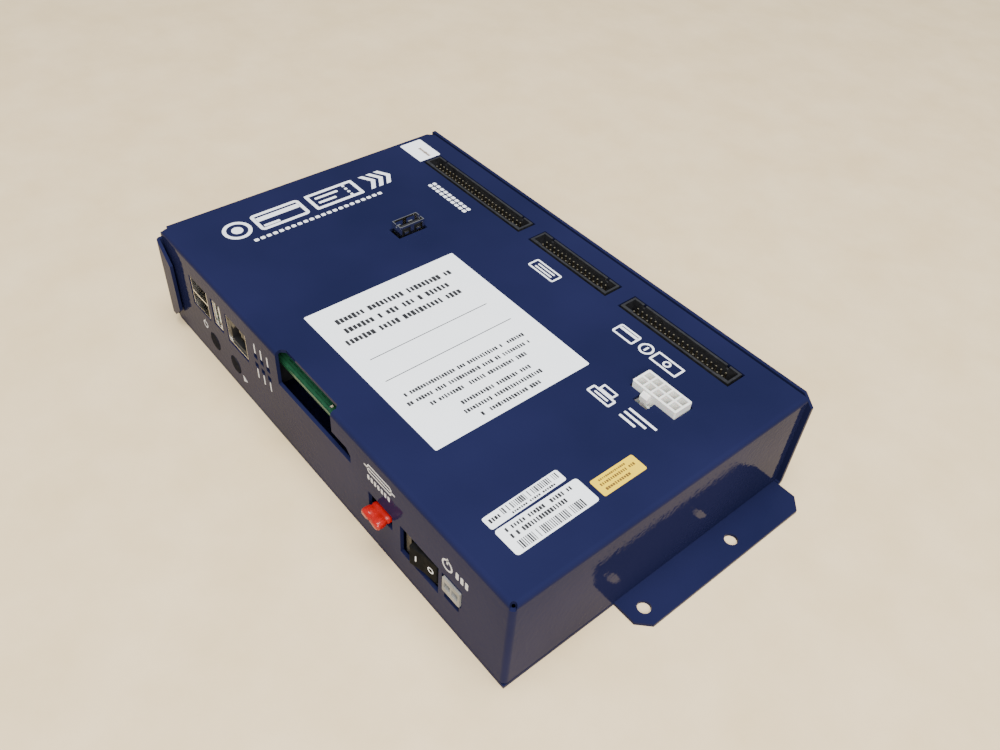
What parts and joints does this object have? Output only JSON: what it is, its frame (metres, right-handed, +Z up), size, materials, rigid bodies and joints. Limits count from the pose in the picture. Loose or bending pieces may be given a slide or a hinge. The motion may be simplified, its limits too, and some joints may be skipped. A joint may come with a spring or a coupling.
{
  "type": "pay station controller unit",
  "caption": "Bent-steel controller box of a parking pay station, with a port wall, header sockets in its top, a blade fuse, a power rocker and a bolt-down flange.",
  "frame": {"origin": "centre of the case's underside, on the surface that it rests on", "axes": "+X along the case towards the mounting flange, +Y from the port wall to the back wall, +Z up"},
  "size_m": [0.259, 0.1602, 0.0554],
  "materials": {
    "navy_paint": "glossy navy powder coat with a fine orange peel",
    "green_board": "green solder mask on glass fibre board",
    "zinc_steel": "bright zinc plate",
    "black_screws": "black zinc plate",
    "black_plastic": "moulded black polyester",
    "gold_pins": "thin gold plate",
    "tin_pins": "tin plate",
    "white_nylon": "natural white nylon",
    "plated_shell": "nickel plated steel sheet",
    "grey_rubber": "dark grey rubber",
    "ribbon_grey": "grey flat cable",
    "lamp_lens": "tinted lens",
    "card_grey": "grey moulded card frame",
    "fuse_red": "clear red moulding",
    "brass_clips": "spring brass",
    "black_gloss": "satin black moulding",
    "chip_black": "moulded package",
    "sink_aluminium": "extruded",
    "can_blue": "sleeved can",
    "coil_copper": "enamelled copper winding",
    "cell_steel": "nickel steel can",
    "label_paper": "white label stock with grey print bars"
  },
  "bodies": {
    "case": {"backup_cell": "cell_steel", "backup_cell_holder": "black_plastic", "base_pan": "navy_paint", "board_link_block": "black_plastic", "board_link_pins": "gold_pins", "board_screws": "zinc_steel", "board_standoffs": "zinc_steel", "button_board": "green_board", "button_board_nuts": "zinc_steel", "button_board_studs": "zinc_steel", "button_ribbon": "ribbon_grey", "button_switches": "black_plastic", "capacitors": "can_blue", "card_socket": "black_plastic", "clinch_nuts": "zinc_steel", "cover": "navy_paint", "cover_screws": "black_screws", "display_header_pins": "gold_pins", "display_header_shroud": "black_plastic", "floor_screws": "black_screws", "fuse_clips": "brass_clips", "fuse_holder": "black_plastic", "heat_sink": "sink_aluminium", "keypad_header_pins": "gold_pins", "keypad_header_shroud": "black_plastic", "labels": "label_paper", "logic_chips": "chip_black", "main_board": "green_board", "network_jack_body": "black_plastic", "network_jack_contacts": "gold_pins", "network_jack_shield": "plated_shell", "payment_header_pins": "gold_pins", "payment_header_shroud": "black_plastic", "power_board": "green_board", "power_board_spacers": "zinc_steel", "power_coils": "coil_copper", "power_inlet_body": "white_nylon", "power_inlet_pins": "tin_pins", "power_regulators": "chip_black", "power_switch_housing": "black_plastic", "power_switch_terminals": "brass_clips", "printer_connector_body": "white_nylon", "printer_connector_pins": "tin_pins", "processor": "chip_black", "single_usb_insert": "white_nylon", "single_usb_shell": "plated_shell", "stacked_usb_contacts": "gold_pins", "stacked_usb_inserts": "white_nylon", "stacked_usb_shell": "plated_shell", "status_lamp_holder": "black_plastic", "status_lamps": "lamp_lens", "upright_usb_contacts": "gold_pins", "upright_usb_insert": "black_plastic", "upright_usb_shell": "plated_shell"},
    "fuse": {"fuse_body": "fuse_red", "fuse_blades": "tin_pins"},
    "rocker": {"power_rocker": "black_gloss"},
    "reset_cap": {"reset_button": "grey_rubber"},
    "test_cap": {"test_button": "grey_rubber"},
    "card": {"storage_card": "card_grey"}
  },
  "joints": [
    {"name": "fuse_pull", "type": "slide", "parent": "case", "child": "fuse", "axis": [0, -1, 0], "range_m": [0, 0.014]},
    {"name": "rocker_tilt", "type": "hinge", "parent": "case", "child": "rocker", "pos_m": [0.0739, -0.0698, 0.0212], "axis": [0, 0, 1], "range_deg": [-20, 0]},
    {"name": "reset_press", "type": "slide", "parent": "case", "child": "reset_cap", "axis": [0, 1, 0], "range_m": [0, 0.001], "stiffness_N_per_m": 900},
    {"name": "test_press", "type": "slide", "parent": "case", "child": "test_cap", "axis": [0, 1, 0], "range_m": [0, 0.001], "stiffness_N_per_m": 900},
    {"name": "card_pull", "type": "slide", "parent": "case", "child": "card", "axis": [0, -1, 0], "range_m": [0, 0.04]}
  ]
}
